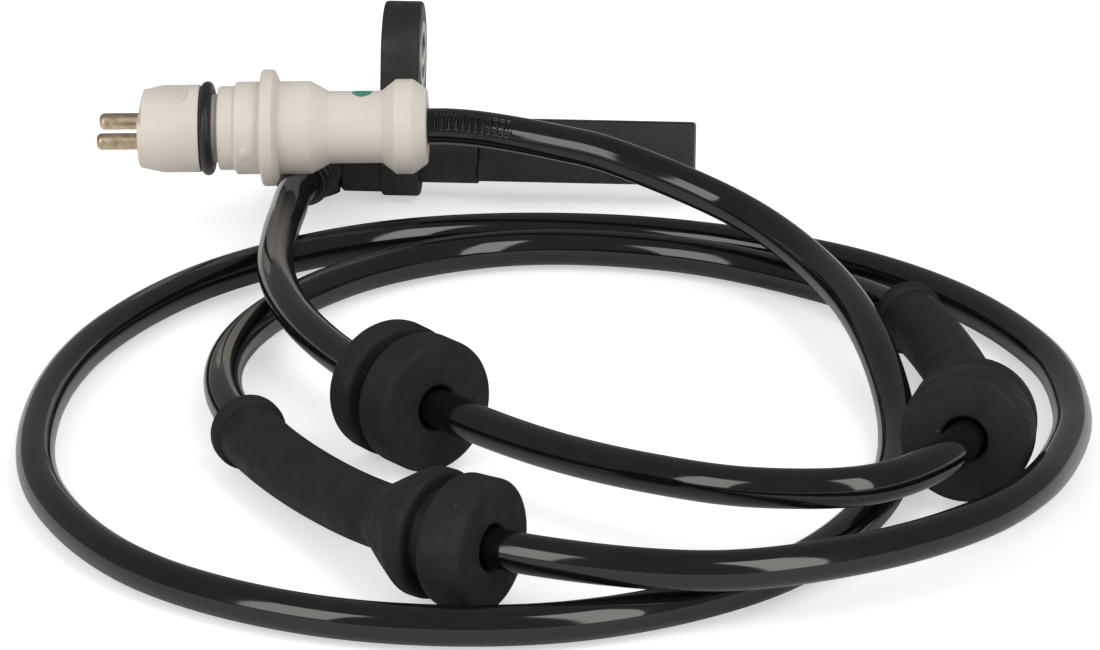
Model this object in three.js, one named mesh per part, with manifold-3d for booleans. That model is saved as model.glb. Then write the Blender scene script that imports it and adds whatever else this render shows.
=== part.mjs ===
// Two-pin wheel speed sensor with its cable laid in loose loops: a moulded sensor head with a
// bolt ear, three rubber grommets on the cable and a round connector. Millimetres, +Z up.
// The head's axis runs along X with its sensing tip at +X, and all lies on the plane z = 0.
import * as THREE from 'three';
import { mergeVertices } from 'three/addons/utils/BufferGeometryUtils.js';
import Module from 'manifold-3d';

// Driving dimensions, in millimetres and degrees
const clearance = 0.3;          // gap between neighbouring pieces
const cableDiameter = 5;
const wireDiameter = 1.3;       // one insulated core of the cable

// Way of the cable's centre line, from inside the head to inside the connector
const axisHeight = 6.65;        // head axis above the plane it lies on
const cableRoute = [
  [-22.0, -2.57, axisHeight], [-25.2, -2.57, axisHeight], [-26.65, -2.8, 6.64],
  [-27.96, -3.47, 6.61], [-29.0, -4.51, 6.56], [-29.67, -5.82, 6.5],
  [-29.9, -7.27, 6.44], [-29.65, -10.2, 6.4], [-29.3, -13.2, 6.4],
  [-29.15, -16.2, 6.45], [-29.4, -19.6, 6.6], [-29.85, -24.0, 6.95],
  [-29.8, -31.3, 7.5], [-29.7, -43.3, 8.3], [-28.6, -59.3, 8.5],
  [-23.5, -76.5, 8.4], [-14.3, -93.1, 8.4], [-2.5, -108.0, 8.95],
  [11.2, -121.1, 9.4], [24.9, -131.0, 10.4], [37.8, -136.2, 11.0],
  [51.6, -135.1, 11.2], [60.3, -125.3, 10.7], [64.1, -111.8, 9.5],
  [64.0, -96.0, 7.2], [61.3, -78.3, 5.6], [55.2, -59.3, 4.6],
  [43.4, -43.5, 2.9], [24.1, -33.2, 2.8], [2.4, -31.8, 2.8],
  [-15.4, -40.5, 2.8], [-26.7, -54.4, 2.8], [-32.5, -71.3, 3.2],
  [-32.3, -91.2, 4.3], [-26.0, -110.1, 5.0], [-16.0, -127.4, 5.9],
  [-4.3, -143.4, 8.1], [12.5, -154.0, 8.8], [34.2, -156.0, 8.3],
  [52.4, -148.7, 8.2], [65.3, -137.0, 7.8], [71.9, -125.0, 7.1],
  [75.9, -108.5, 5.4], [77.2, -90.4, 3.7], [73.8, -68.8, 2.8],
  [61.8, -48.2, 2.8], [43.1, -33.2, 2.8], [14.5, -25.0, 2.8],
  [-15.0, -28.9, 2.8], [-37.6, -45.1, 2.8], [-51.0, -69.5, 2.8],
  [-55.1, -97.0, 2.8], [-50.7, -124.6, 2.8], [-35.6, -147.8, 2.8],
  [-11.0, -160.4, 2.8], [16.7, -159.6, 2.8], [40.0, -144.8, 2.8],
  [52.1, -122.0, 2.8], [54.9, -96.3, 2.9], [50.8, -73.1, 7.2],
  [42.8, -50.6, 8.6], [31.7, -36.9, 11.2], [13.8, -30.0, 16.1],
  [7.4, -28.0, 16.8], [1.2, -26.4, 17.35], [-4.5, -25.35, 17.75],
  [-8.4, -25.19, 17.92], [-10.4, -25.2, 17.88], [-13.4, -25.215, 17.815],
];
const jacketInHead = 3;         // length of cable inside the head and inside the connector
const jacketInConnector = 3;

// Sensor head, measured along its axis from the rear face
const rollBack = 18.5;          // the ear leans back by this much
const rearLength = 5.75;
const rearRadius = 6.1;
const earThickness = 5.4;
const earRadius = 7.6;
const earFootRadius = 6.65;
const earEdge = 0.4;
const boltOffset = 13.2;        // bolt axis above the head axis
const collarLength = 8.35;
const collarRadius = 4.85;
const tipLength = 30.5;
const tipHeight = 8.9;
const tipDepth = 8.2;
const tipEdge = 0.5;
const boreRadius = 3.1;         // bore that the coil slides into
const endWall = 1.3;            // wall in front of the pole pin

// Steel bush in the ear
const bushRadius = 4.9;
const bushBore = 3.3;
const bushProud = 0.1;          // it stands this far out of each face of the ear

// Coil, pole and magnet inside the head
const coilLength = 13;
const spoolRadius = 1.65;
const spoolFlange = 0.7;
const poleRadius = 0.9;
const windingDepth = 0.65;
const magnetLength = 4.5;
const magnetRadius = 1.9;
const carrierLength = 2.5;
const terminalLength = 7;
const terminalWidth = 1.4;
const terminalThickness = 0.5;
const terminalSpacing = 2.6;

// Ribbed boot on the cable behind the head
const headBootLength = 18;
const headBootRadius = 3.7;      // over the ribs at the free end
const headBootRoot = 3.15;       // between the ribs there
const headBootFlare = 0.6;       // growth of both towards the head
const headBootPitch = 2;

// Grommets: a groove between two rims, and on two of them a cone and a long sleeve
const plainGrommetAt = 117.88;   // front faces, measured along the cable
const rightGrommetAt = 205.44;
const frontGrommetAt = 478.21;
const plainRimRadius = 8.7;
const rimRadius = 8.35;         // of the two sleeved grommets
const rimRounding = 0.8;
const grooveRadius = 5.9;
const grooveWidth = 2.3;
const frontRim = 5.4;
const backRim = 4.2;
const mouthRadius = 3.4;        // the bore widens at its faces
const mouthDepth = 0.4;
const boreGap = 0.55;           // radial gap of a grommet or boot on the bent cable
const coneRadius = 8.1;
const coneRim = 2.2;
const coneLength = 7;
const sleeveRadius = 4.15;
const sleeveTotal = 58.5;       // from the front face to the end of the sleeve
const beadRadius = 4.85;
const beadWidth = 2;

// Connector body, measured along its axis from the nose
const connectorRoll = 10;
const noseTipRadius = 5.4;
const noseTaper = 3.6;
const noseRadius = 6.15;
const noseLength = 8.8;
const sealSection = 0.9;        // radius of the seal ring's own section
const sealOuter = 6.5;
const sealGroove = 2.5;
const landRadius = 5.85;
const landLength = 2.3;
const barrelRadius = 6.4;
const frontBarrel = 3.7;
const flangeRadius = 8.05;
const flangeWidth = 2.7;
const rearBarrel = 4.6;
const shoulderLength = 2.45;    // slope at each end of the waist
const waistRadius = 5;
const waistLength = 7.1;
const tailRadius = 6.6;
const tailLength = 2.4;
const tailChamfer = 2;
const tailEndRadius = 5.15;
const keyFlatDepth = 0.8;       // flat on top of the nose
const keyFlatLength = 6.4;
const keyRunOut = 1.6;          // radius at the end of the flat
const pinRadius = 1.15;
const pinSpacing = 4.8;
const pinExposed = 5.7;
const pinInside = 19;
const pinTip = 1.1;
const cavityRadius = 3.6;
const cavityStart = 16.5;
const cavityEnd = 36.5;

// Ribbed relief between the connector and the cable
const reliefLength = 11.8;
const reliefRoot = 2.1;
const reliefBore = 1.75;
const reliefPitch = 1.05;
const reliefFoot = 3;           // length and radius of its foot inside the connector
const reliefFootRadius = 2.9;
const wireSpacing = 1.6;        // between the two cores where they lie side by side

const finishes = {
  plastic: { color: 0x1c1c1e, roughness: 0.5, metalness: 0 },
  rubber: { color: 0x232425, roughness: 0.85, metalness: 0 },
  jacket: { color: 0x101012, roughness: 0.12, metalness: 0 },
  ivory: { color: 0xdcd6cb, roughness: 0.5, metalness: 0 },
  zinc: { color: 0x8f9690, roughness: 0.35, metalness: 1 },
  steel: { color: 0x9a9b9c, roughness: 0.3, metalness: 1 },
  brass: { color: 0xb8a27c, roughness: 0.35, metalness: 1 },
  copper: { color: 0xb0683f, roughness: 0.4, metalness: 1 },
  magnet: { color: 0x4a4c50, roughness: 0.6, metalness: 1 },
  whiteWire: { color: 0xd8d8d2, roughness: 0.5, metalness: 0 },
  darkWire: { color: 0x2a2a2c, roughness: 0.5, metalness: 0 },
};

const cableRadius = cableDiameter / 2;
const wireRadius = wireDiameter / 2;
const degrees = THREE.MathUtils.degToRad;

const wasm = await Module();
wasm.setup();

function mesh(name, geometry, finish) {
  const piece = new THREE.Mesh(geometry, new THREE.MeshStandardMaterial(finishes[finish]));
  piece.name = name;
  return piece;
}

// Solids for joining and cutting, and back
function solid(geometry) {
  const bare = geometry.clone();
  bare.deleteAttribute('normal');
  bare.deleteAttribute('uv');
  const merged = mergeVertices(bare, 1e-4);
  return new wasm.Manifold(new wasm.Mesh({
    numProp: 3,
    vertProperties: new Float32Array(merged.attributes.position.array),
    triVerts: new Uint32Array(merged.index.array),
  }));
}

function geometryOf(manifold) {
  const data = manifold.getMesh();
  const geometry = new THREE.BufferGeometry();
  geometry.setAttribute('position', new THREE.BufferAttribute(data.vertProperties, 3));
  geometry.setIndex(new THREE.BufferAttribute(data.triVerts, 1));
  geometry.computeVertexNormals();
  return geometry;
}

// A piece revolved about the X axis, from points [station, radius]
function turned(points, segments = 40) {
  const profile = points.map(([station, radius]) => new THREE.Vector2(radius, station));
  return new THREE.LatheGeometry(profile, segments).rotateZ(-Math.PI / 2);
}

function rod(from, to, radius, segments = 20) {
  return turned([[from, 0], [from, radius], [to, radius], [to, 0]], segments);
}

function ring(from, to, outer, inner, segments = 24) {
  return turned(
    [[from, inner], [from, outer], [to, outer], [to, inner], [from, inner]],
    segments,
  );
}

// Outer corner of a profile rounded between a face and a wall: side -1 at a front face, which
// the profile climbs, and side 1 at a back face, which it comes down
function corner(face, radius, rounding, side, steps = 2) {
  const points = [];
  for (let i = 0; i <= steps; i += 1) {
    const turn = (i / steps) * (Math.PI / 2);
    const climb = side < 0 ? turn : Math.PI / 2 - turn;
    points.push([
      face - side * rounding * (1 - Math.cos(climb)),
      radius - rounding * (1 - Math.sin(climb)),
    ]);
  }
  return points;
}

// Straight runs of a profile divided so that the piece can bend with the cable
function divided(points, longest) {
  const result = [points[0]];
  for (let i = 1; i < points.length; i += 1) {
    const [x0, r0] = points[i - 1];
    const [x1, r1] = points[i];
    const parts = Math.max(1, Math.ceil(Math.abs(x1 - x0) / longest));
    for (let k = 1; k <= parts; k += 1) {
      result.push([x0 + ((x1 - x0) * k) / parts, r0 + ((r1 - r0) * k) / parts]);
    }
  }
  return result;
}

// The cable's centre line: a point, its heading, and two directions across it
const up = new THREE.Vector3(0, 0, 1);
const route = new THREE.CatmullRomCurve3(
  cableRoute.map((point) => new THREE.Vector3(...point)),
  false,
  'centripetal',
);
route.arcLengthDivisions = 2400;
const routeLength = route.getLength();

function cableFrame(distance) {
  const inside = THREE.MathUtils.clamp(distance, 0, routeLength);
  const heading = route.getTangentAt(inside / routeLength);
  const point = route.getPointAt(inside / routeLength);
  point.addScaledVector(heading, distance - inside);
  const side = new THREE.Vector3().crossVectors(up, heading).normalize();
  const rise = new THREE.Vector3().crossVectors(heading, side);
  return { point, heading, side, rise };
}

// Bends a piece modelled along X onto the cable, with its X = 0 at the given distance and its
// +X onward along the cable, or back along it where the heading is -1
function bent(geometry, distance, heading) {
  const position = geometry.attributes.position;
  for (let i = 0; i < position.count; i += 1) {
    const { point, side, rise } = cableFrame(distance + heading * position.getX(i));
    point.addScaledVector(side, heading * position.getY(i));
    point.addScaledVector(rise, position.getZ(i));
    position.setXYZ(i, point.x, point.y, point.z);
  }
  geometry.computeVertexNormals();
  return geometry;
}

// A round strand along any curve
class Strand extends THREE.Curve {
  constructor(place) {
    super();
    this.place = place;
  }

  getPoint(t, target = new THREE.Vector3()) {
    return target.copy(this.place(t));
  }
}

function strand(place, radius, steps, sides = 10) {
  const section = new THREE.Shape().absarc(0, 0, radius, 0, 2 * Math.PI);
  return new THREE.ExtrudeGeometry(section, {
    steps,
    curveSegments: sides / 2,
    bevelEnabled: false,
    extrudePath: new Strand(place),
  });
}

function cable(name, from, to, steps) {
  const place = (t) => cableFrame(THREE.MathUtils.lerp(from, to, t)).point;
  return mesh(name, strand(place, cableRadius, steps), 'jacket');
}

// Sensor head
const earStart = rearLength;
const collarStart = earStart + earThickness;
const tipStart = collarStart + collarLength;
const headLength = tipStart + tipLength;

function earPlate() {
  // Two round ends joined by their outer tangents, drawn as (across, up)
  const lean = Math.asin((earRadius - earFootRadius) / boltOffset);
  const outline = new THREE.Shape();
  outline.absarc(0, boltOffset, earRadius - earEdge, -lean, Math.PI + lean);
  outline.absarc(0, 0, earFootRadius - earEdge, Math.PI + lean, 2 * Math.PI - lean);
  const plate = new THREE.ExtrudeGeometry(outline, {
    depth: earThickness - 2 * earEdge,
    curveSegments: 14,
    bevelThickness: earEdge,
    bevelSize: earEdge,
    bevelSegments: 2,
  });
  return plate.rotateX(Math.PI / 2).rotateZ(Math.PI / 2).translate(earStart + earEdge, 0, 0);
}

function tipBlock() {
  const halfDepth = tipDepth / 2 - tipEdge;
  const halfHeight = tipHeight / 2 - tipEdge;
  const outline = new THREE.Shape([
    new THREE.Vector2(-halfDepth, -halfHeight),
    new THREE.Vector2(halfDepth, -halfHeight),
    new THREE.Vector2(halfDepth, halfHeight),
    new THREE.Vector2(-halfDepth, halfHeight),
  ]);
  const block = new THREE.ExtrudeGeometry(outline, {
    depth: tipLength - 2 * tipEdge,
    bevelThickness: tipEdge,
    bevelSize: tipEdge,
    bevelSegments: 3,
  });
  return block.rotateX(Math.PI / 2).rotateZ(Math.PI / 2).translate(tipStart + tipEdge, 0, 0);
}

function housing() {
  const rear = turned([
    [0, 0],
    ...corner(0, rearRadius, rimRounding, -1),
    [rearLength + earThickness / 2, rearRadius],
    [rearLength + earThickness / 2, 0],
  ]);
  const collar = rod(earStart + 1, tipStart, collarRadius, 40);
  const core = rod(tipStart - 1, tipStart + 1, tipDepth / 2 - tipEdge, 40);
  const bore = rod(-1, headLength - endWall, boreRadius, 32);
  const bushSeat = rod(earStart - 1, collarStart + 1, bushRadius + clearance, 40)
    .translate(0, 0, boltOffset);
  return geometryOf(
    solid(rear)
      .add(solid(earPlate()))
      .add(solid(collar))
      .add(solid(core))
      .add(solid(tipBlock()))
      .subtract(solid(bore))
      .subtract(solid(bushSeat)),
  );
}

// Inside the head, from the tip backwards: pole in its spool, magnet, terminals, cores
const innerRadius = boreRadius - clearance;
const spoolFront = headLength - endWall - clearance;
const spoolRear = spoolFront - coilLength - 2 * spoolFlange;
const magnetFront = spoolRear - clearance;
const magnetRear = magnetFront - magnetLength;
const cupRear = magnetRear - clearance;
const carrierFront = cupRear - clearance;
const carrierRear = carrierFront - carrierLength;
const terminalFront = cupRear;
const terminalRear = terminalFront - terminalLength;

function bobbin() {
  const poleBore = poleRadius + clearance;
  const cupBore = magnetRadius + clearance;
  return turned([
    [spoolRear, poleBore],
    [cupRear + magnetLength + 2 * clearance, cupBore],
    [cupRear, cupBore],
    [cupRear, innerRadius],
    [spoolRear + spoolFlange, innerRadius],
    [spoolRear + spoolFlange, spoolRadius],
    [spoolFront - spoolFlange, spoolRadius],
    [spoolFront - spoolFlange, innerRadius],
    [spoolFront, innerRadius],
    [spoolFront, poleBore],
    [spoolRear, poleBore],
  ], 24);
}

function winding() {
  const inner = spoolRadius + clearance;
  return ring(
    spoolRear + spoolFlange + clearance,
    spoolFront - spoolFlange - clearance,
    inner + windingDepth,
    inner,
  );
}

function terminalCarrier() {
  let carrier = solid(rod(carrierRear, carrierFront, innerRadius));
  for (const side of [-1, 1]) {
    const slot = new THREE.BoxGeometry(
      carrierLength + 2,
      terminalThickness + 2 * clearance,
      terminalWidth + 2 * clearance,
    ).translate((carrierFront + carrierRear) / 2, (side * terminalSpacing) / 2, 0);
    carrier = carrier.subtract(solid(slot));
  }
  return geometryOf(carrier);
}

function terminal(side) {
  return new THREE.BoxGeometry(terminalLength, terminalThickness, terminalWidth)
    .translate((terminalFront + terminalRear) / 2, (side * terminalSpacing) / 2, 0);
}

function headWire(side) {
  return rod(jacketInHead + clearance, terminalRear - clearance, wireRadius, 12)
    .translate(0, (side * terminalSpacing) / 2, 0);
}

const head = new THREE.Group();
const bush = ring(
  earStart - bushProud,
  collarStart + bushProud,
  bushRadius,
  bushBore,
  40,
).translate(0, 0, boltOffset);
head.add(
  mesh('sensor_housing', housing(), 'plastic'),
  mesh('ear_bush', bush, 'zinc'),
  mesh('pole_pin', rod(magnetFront + clearance, spoolFront, poleRadius), 'steel'),
  mesh('coil_bobbin', bobbin(), 'plastic'),
  mesh('coil_winding', winding(), 'copper'),
  mesh('bias_magnet', rod(magnetRear, magnetFront, magnetRadius), 'magnet'),
  mesh('terminal_carrier', terminalCarrier(), 'plastic'),
  mesh('terminal_a', terminal(-1), 'brass'),
  mesh('terminal_b', terminal(1), 'brass'),
  mesh('head_wire_a', headWire(-1), 'whiteWire'),
  mesh('head_wire_b', headWire(1), 'darkWire'),
);
const [startX, startY] = cableRoute[0];
head.position.set(startX - jacketInHead, startY, axisHeight);
head.rotation.x = -degrees(rollBack);

// Ribbed boots
function ribs(from, to, pitch, crest, root) {
  const points = [[from, root]];
  const count = Math.floor((to - from) / pitch);
  for (let i = 0; i < count; i += 1) {
    const start = from + i * pitch + pitch * 0.1;
    points.push(
      [start, root],
      [start + pitch * 0.25, crest],
      [start + pitch * 0.6, crest],
      [start + pitch * 0.85, root],
    );
  }
  points.push([to, root]);
  return points;
}

// X = 0 is the boot's free end and +X points back to the head
function headBoot() {
  const bore = cableRadius + boreGap;
  const end = headBootLength;
  const outside = ribs(0, end, headBootPitch, headBootRadius, headBootRoot)
    .map(([station, radius]) => [station, radius + (headBootFlare * station) / end]);
  return turned(divided([
    [0, bore],
    ...outside,
    [end, bore],
    [0, bore],
  ], 1.5 * headBootPitch), 16);
}

// X = 0 is the rear face of the connector and +X points back along the cable
function relief() {
  return turned(divided([
    [-reliefFoot, reliefBore],
    [-reliefFoot, reliefFootRadius],
    [0, reliefFootRadius],
    ...ribs(0, reliefLength, reliefPitch, cableRadius, reliefRoot),
    [reliefLength, reliefBore],
    [-reliefFoot, reliefBore],
  ], 3), 12);
}

// Grommets, with X = 0 at the front face
function plainGrommet() {
  const bore = cableRadius + boreGap;
  const grooveStart = frontRim;
  const grooveEnd = frontRim + grooveWidth;
  const back = grooveEnd + backRim;
  return turned(divided([
    [mouthDepth, bore],
    [0, mouthRadius],
    ...corner(0, plainRimRadius, rimRounding, -1),
    ...corner(grooveStart, plainRimRadius, rimRounding, 1),
    [grooveStart, grooveRadius],
    [grooveEnd, grooveRadius],
    ...corner(grooveEnd, plainRimRadius, rimRounding, -1),
    ...corner(back, plainRimRadius, rimRounding, 1),
    [back, mouthRadius],
    [back - mouthDepth, bore],
    [mouthDepth, bore],
  ], 6), 26);
}

function sleevedGrommet() {
  const bore = cableRadius + boreGap;
  const grooveStart = frontRim;
  const coneFront = frontRim + grooveWidth;
  const slopeStart = coneFront + coneRim;
  const bead = sleeveTotal - beadWidth;
  const beadRounding = beadRadius - sleeveRadius;
  return turned(divided([
    [mouthDepth, bore],
    [0, mouthRadius],
    ...corner(0, rimRadius, rimRounding, -1),
    ...corner(grooveStart, rimRadius, rimRounding, 1),
    [grooveStart, grooveRadius],
    [coneFront, grooveRadius],
    ...corner(coneFront, coneRadius, rimRounding, -1),
    [slopeStart, coneRadius],
    [slopeStart + coneLength, sleeveRadius],
    [bead, sleeveRadius],
    ...corner(bead, beadRadius, beadRounding, -1),
    ...corner(sleeveTotal, beadRadius, beadRounding, 1),
    [sleeveTotal, bore],
    [mouthDepth, bore],
  ], 5.5), 22);
}

// Connector, along X from its nose
const landStart = noseLength + sealGroove;
const barrelStart = landStart + landLength;
const flangeStart = barrelStart + frontBarrel;
const rearBarrelStart = flangeStart + flangeWidth;
const waistSlope = rearBarrelStart + rearBarrel;
const waistStart = waistSlope + shoulderLength;
const waistEnd = waistStart + waistLength;
const tailStart = waistEnd + shoulderLength;
const chamferStart = tailStart + tailLength;
const connectorLength = chamferStart + tailChamfer;

function keyFlat() {
  // Cutter drawn as (along, up), with a round run-out where the flat ends
  const floor = noseRadius - keyFlatDepth;
  const outline = new THREE.Shape();
  outline.moveTo(-1, floor);
  outline.lineTo(keyFlatLength, floor);
  outline.absarc(keyFlatLength, floor + keyRunOut, keyRunOut, -Math.PI / 2, 0);
  outline.lineTo(-1, floor + keyRunOut);
  const cutter = new THREE.ExtrudeGeometry(outline, {
    depth: 2 * noseRadius,
    curveSegments: 6,
    bevelEnabled: false,
  });
  return cutter.translate(0, 0, -noseRadius).rotateX(Math.PI / 2);
}

function connectorBody() {
  const grooveFloor = sealOuter - 2 * sealSection - clearance;
  const outside = turned([
    [0, 0],
    ...corner(0, noseTipRadius, 0.4, -1),
    [noseTaper, noseRadius],
    [noseLength, noseRadius],
    [noseLength, grooveFloor],
    [landStart, grooveFloor],
    ...corner(landStart, landRadius, 0.3, -1),
    [barrelStart, landRadius],
    ...corner(barrelStart, barrelRadius, 0.4, -1),
    [flangeStart, barrelRadius],
    ...corner(flangeStart, flangeRadius, 0.6, -1),
    ...corner(rearBarrelStart, flangeRadius, 0.6, 1),
    [rearBarrelStart, barrelRadius],
    [waistSlope, barrelRadius],
    [waistStart, waistRadius],
    [waistEnd, waistRadius],
    [tailStart, tailRadius],
    [chamferStart, tailRadius],
    [connectorLength, tailEndRadius],
    [connectorLength, 0],
  ], 36);
  const footHole = reliefFootRadius + clearance;
  let body = solid(outside)
    .subtract(solid(keyFlat()))
    .subtract(solid(rod(cavityStart, cavityEnd, cavityRadius, 20)))
    .subtract(solid(rod(cavityEnd - 1, connectorLength + 1, footHole, 20)));
  for (const side of [-1, 1]) {
    const pinHole = rod(-1, cavityStart + 1, pinRadius + clearance)
      .translate(0, (side * pinSpacing) / 2, 0);
    body = body.subtract(solid(pinHole));
  }
  return geometryOf(body);
}

function contactPin(side) {
  const tip = -pinExposed;
  return turned([
    [tip, 0],
    [tip, pinRadius * 0.5],
    [tip + pinTip * 0.4, pinRadius * 0.85],
    [tip + pinTip, pinRadius],
    [pinInside, pinRadius],
    [pinInside, 0],
  ], 14).translate(0, (side * pinSpacing) / 2, 0);
}

function sealRing() {
  return new THREE.TorusGeometry(sealOuter - sealSection, sealSection, 10, 28)
    .rotateY(Math.PI / 2)
    .translate(noseLength + sealGroove / 2, 0, 0);
}

const connector = new THREE.Group();
connector.add(
  mesh('connector_body', connectorBody(), 'ivory'),
  mesh('connector_seal', sealRing(), 'rubber'),
  mesh('contact_pin_a', contactPin(-1), 'brass'),
  mesh('contact_pin_b', contactPin(1), 'brass'),
);
const connectorRear = routeLength - jacketInConnector;
const cableEnd = cableFrame(connectorRear);
const alongConnector = cableEnd.heading.clone().negate();
const acrossConnector = cableEnd.side.clone().negate();
connector.quaternion
  .setFromRotationMatrix(
    new THREE.Matrix4().makeBasis(alongConnector, acrossConnector, cableEnd.rise),
  )
  .multiply(new THREE.Quaternion().setFromAxisAngle(
    new THREE.Vector3(1, 0, 0),
    degrees(connectorRoll),
  ));
connector.position.copy(cableEnd.point).addScaledVector(alongConnector, -connectorLength);

// Cores from the end of the cable's jacket through the relief to the pins
const jacketEnd = connectorRear - reliefLength - clearance;

function connectorWire(side) {
  const from = jacketEnd + clearance;
  const to = connectorRear + connectorLength - pinInside - clearance;
  const fanStart = connectorRear + reliefFoot;
  const roll = degrees(connectorRoll);
  const place = (t) => {
    const distance = THREE.MathUtils.lerp(from, to, t);
    const fan = THREE.MathUtils.smoothstep(distance, fanStart, to);
    const offset = (side * THREE.MathUtils.lerp(wireSpacing, pinSpacing, fan)) / 2;
    const { point, side: across, rise } = cableFrame(distance);
    return point
      .addScaledVector(across, -offset * Math.cos(roll))
      .addScaledVector(rise, offset * Math.sin(roll));
  };
  return strand(place, wireRadius, 14, 8);
}

// The jacket is cut where grommets and the boot hide it
const bootEnd = jacketInHead + headBootLength + clearance;
const tailEnd = bootEnd - 2 * headBootPitch;
const rearEnd = plainGrommetAt - (frontRim + grooveWidth) / 2;
const bridgeEnd = rightGrommetAt + frontRim;
const innerEnd = frontGrommetAt - frontRim;

const part = new THREE.Group();
part.add(
  head,
  mesh('head_boot', bent(headBoot(), bootEnd, -1), 'rubber'),
  cable('cable_tail', 0, tailEnd, 6),
  cable('cable_rear', tailEnd + clearance, rearEnd, 9),
  cable('cable_bridge', rearEnd + clearance, bridgeEnd, 8),
  cable('cable_inner_loop', bridgeEnd + clearance, innerEnd, 24),
  cable('cable_outer_loop', innerEnd + clearance, jacketEnd, 42),
  mesh('grommet_plain', bent(plainGrommet(), plainGrommetAt, -1), 'rubber'),
  mesh('grommet_right', bent(sleevedGrommet(), rightGrommetAt, 1), 'rubber'),
  mesh('grommet_front', bent(sleevedGrommet(), frontGrommetAt, -1), 'rubber'),
  connector,
  mesh('connector_relief', bent(relief(), connectorRear, -1), 'rubber'),
  mesh('connector_wire_a', connectorWire(-1), 'whiteWire'),
  mesh('connector_wire_b', connectorWire(1), 'darkWire'),
);

export default part;
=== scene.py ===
import bisect
import math

import bpy
from mathutils import Matrix, Vector


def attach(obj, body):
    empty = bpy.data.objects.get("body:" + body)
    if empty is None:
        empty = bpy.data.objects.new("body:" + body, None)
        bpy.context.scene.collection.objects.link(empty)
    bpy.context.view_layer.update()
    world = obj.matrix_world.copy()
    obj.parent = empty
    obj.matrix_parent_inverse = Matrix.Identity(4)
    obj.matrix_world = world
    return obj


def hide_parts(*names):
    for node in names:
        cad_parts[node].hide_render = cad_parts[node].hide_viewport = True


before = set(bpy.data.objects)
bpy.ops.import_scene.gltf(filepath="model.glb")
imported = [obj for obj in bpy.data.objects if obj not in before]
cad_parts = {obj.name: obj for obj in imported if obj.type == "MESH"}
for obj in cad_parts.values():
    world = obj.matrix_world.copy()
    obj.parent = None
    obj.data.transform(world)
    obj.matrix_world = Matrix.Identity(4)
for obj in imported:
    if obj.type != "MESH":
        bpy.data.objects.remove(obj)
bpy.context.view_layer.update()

millimetre = 0.001
bpy.ops.object.select_all(action="DESELECT")

# Camera: stands in front of the looped cable with a long lens, looks down on
# it by 21 degrees, and sees the sensor head at the back from its side.
bpy.ops.object.camera_add(
    location=(0.05899, -0.86912, 0.3135),
    rotation=(math.radians(69), 0, math.radians(3.6)),
)
camera = bpy.context.object
camera.data.sensor_width = 36
camera.data.lens = 212.7
bpy.context.scene.camera = camera


# Cable: a 5 mm two-core lead in a glossy black vinyl jacket, extruded in one
# length. It leaves the head, carries three grommets, is laid in two loose
# loops and ends in the ribbed relief of the connector.
cable_radius = 2.5 * millimetre
axis_height = 6.65
route_knots = [
    (-22.0, -2.57, axis_height), (-25.2, -2.57, axis_height), (-26.65, -2.8, 6.64),
    (-27.96, -3.47, 6.61), (-29.0, -4.51, 6.56), (-29.67, -5.82, 6.5),
    (-29.9, -7.27, 6.44), (-29.65, -10.2, 6.4), (-29.3, -13.2, 6.4),
    (-29.15, -16.2, 6.45), (-29.4, -19.6, 6.6), (-29.85, -24.0, 6.95),
    (-29.8, -31.3, 7.5), (-29.7, -43.3, 8.3), (-28.6, -59.3, 8.5),
    (-23.5, -76.5, 8.4), (-14.3, -93.1, 8.4), (-2.5, -108.0, 8.95),
    (11.2, -121.1, 9.4), (24.9, -131.0, 10.4), (37.8, -136.2, 11.0),
    (51.6, -135.1, 11.2), (60.3, -125.3, 10.7), (64.1, -111.8, 9.5),
    (64.0, -96.0, 7.2), (61.3, -78.3, 5.6), (55.2, -59.3, 4.6),
    (43.4, -43.5, 2.9), (24.1, -33.2, 2.8), (2.4, -31.8, 2.8),
    (-15.4, -40.5, 2.8), (-26.7, -54.4, 2.8), (-32.5, -71.3, 3.2),
    (-32.3, -91.2, 4.3), (-26.0, -110.1, 5.0), (-16.0, -127.4, 5.9),
    (-4.3, -143.4, 8.1), (12.5, -154.0, 8.8), (34.2, -156.0, 8.3),
    (52.4, -148.7, 8.2), (65.3, -137.0, 7.8), (71.9, -125.0, 7.1),
    (75.9, -108.5, 5.4), (77.2, -90.4, 3.7), (73.8, -68.8, 2.8),
    (61.8, -48.2, 2.8), (43.1, -33.2, 2.8), (14.5, -25.0, 2.8),
    (-15.0, -28.9, 2.8), (-37.6, -45.1, 2.8), (-51.0, -69.5, 2.8),
    (-55.1, -97.0, 2.8), (-50.7, -124.6, 2.8), (-35.6, -147.8, 2.8),
    (-11.0, -160.4, 2.8), (16.7, -159.6, 2.8), (40.0, -144.8, 2.8),
    (52.1, -122.0, 2.8), (54.9, -96.3, 2.9), (50.8, -73.1, 7.2),
    (42.8, -50.6, 8.6), (31.7, -36.9, 11.2), (13.8, -30.0, 16.1),
    (7.4, -28.0, 16.8), (1.2, -26.4, 17.35), (-4.5, -25.35, 17.75),
    (-8.4, -25.19, 17.92), (-10.4, -25.2, 17.88), (-13.4, -25.215, 17.815),
]


def smooth_span(before, start, end, after, steps):
    """Points of a smooth curve from start to end, between the knots before and after."""
    chord_in = (start - before).length ** 0.5
    chord = (end - start).length ** 0.5
    chord_out = (after - end).length ** 0.5
    leave = (
        (start - before) / chord_in - (end - before) / (chord_in + chord) + (end - start) / chord
    ) * chord
    arrive = (
        (end - start) / chord - (after - start) / (chord + chord_out) + (after - end) / chord_out
    ) * chord
    for step in range(steps):
        t = step / steps
        yield (
            start
            + leave * t
            + (-3 * start + 3 * end - 2 * leave - arrive) * t ** 2
            + (2 * start - 2 * end + leave + arrive) * t ** 3
        )


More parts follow.
